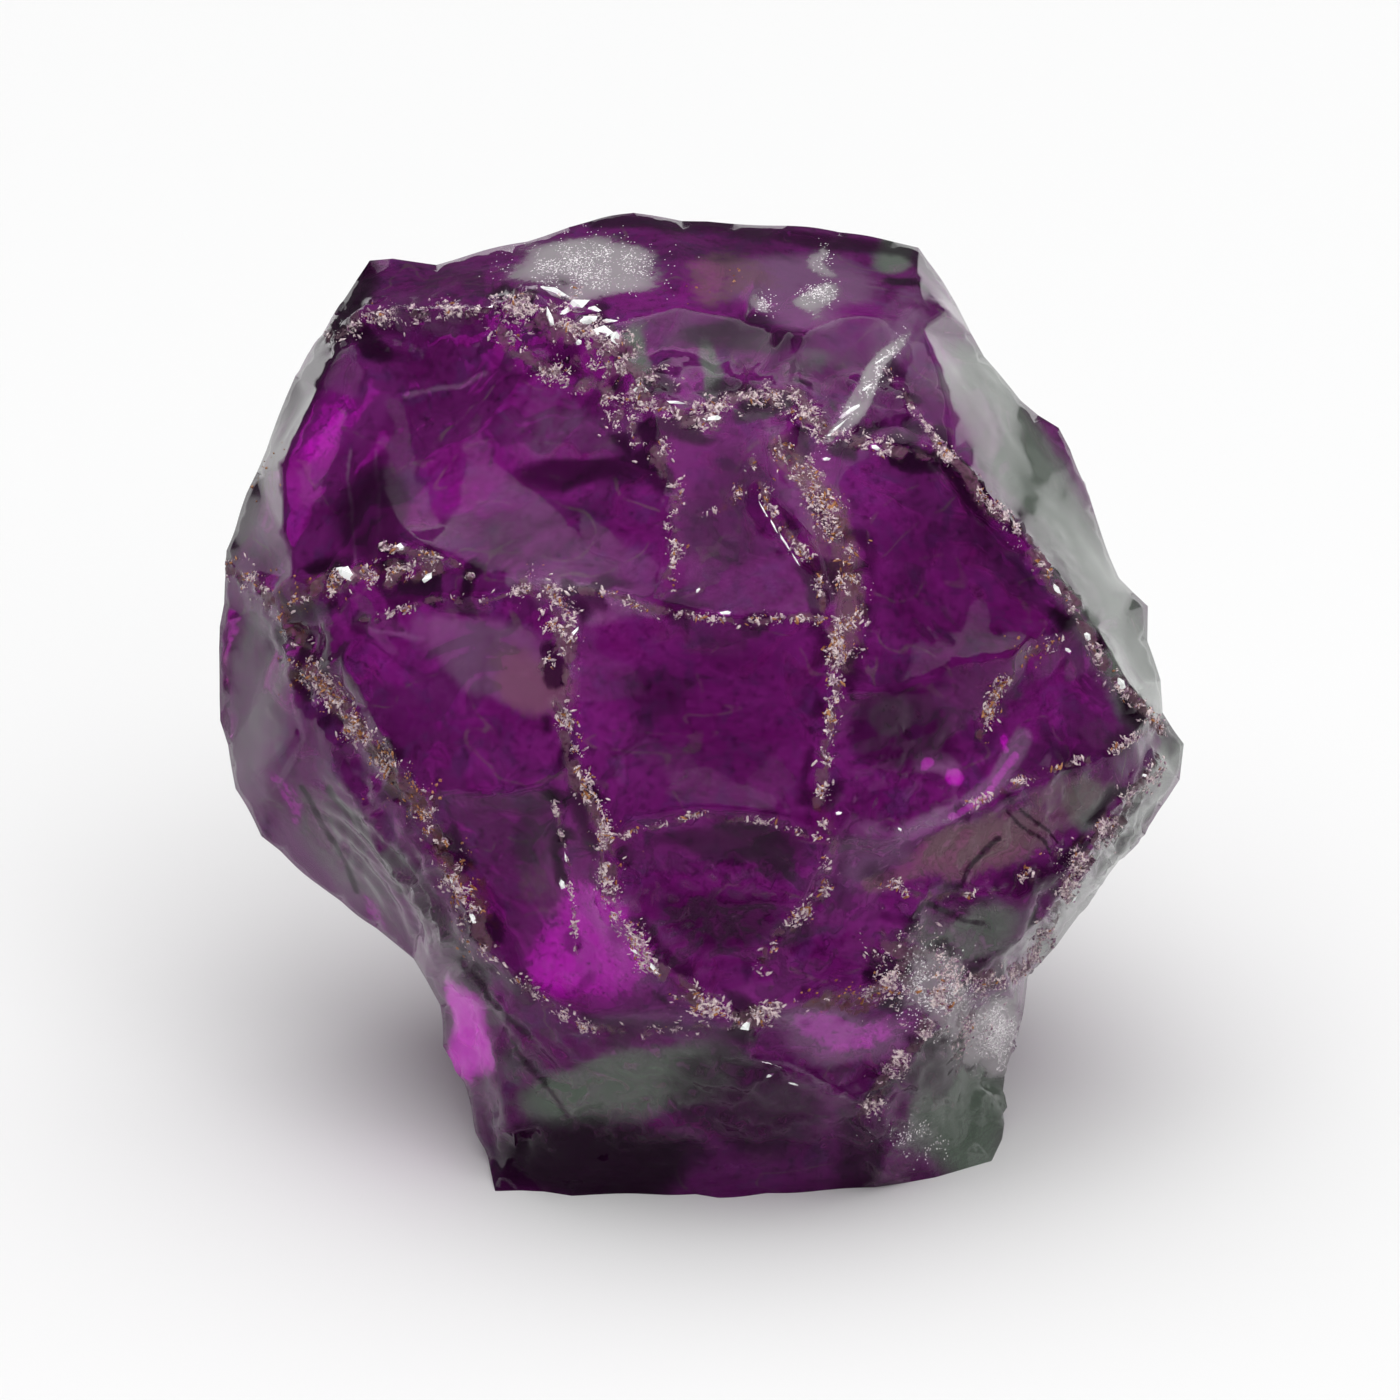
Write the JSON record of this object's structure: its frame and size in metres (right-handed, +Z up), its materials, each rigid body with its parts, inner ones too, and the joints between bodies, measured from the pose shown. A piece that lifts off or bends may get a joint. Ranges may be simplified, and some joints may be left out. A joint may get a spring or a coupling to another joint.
{
  "type": "rough garnet",
  "caption": "Broken lump of clear purple garnet with hollow fracture faces, sharp ridges and ledges, which stands on its flat broken foot.",
  "frame": {"origin": "under the middle of the stone, on the surface that it stands on", "axes": "+Z up, +X to the right and -Y towards the viewer of the picture, who looks down by 25 degrees"},
  "size_m": [0.0242, 0.0194, 0.0208],
  "materials": {
    "garnet": "deep purple, clear but dark, glassy on its fracture faces and frosted along its crushed ridges"
  },
  "bodies": {
    "root": {"garnet": "garnet"}
  },
  "joints": []
}
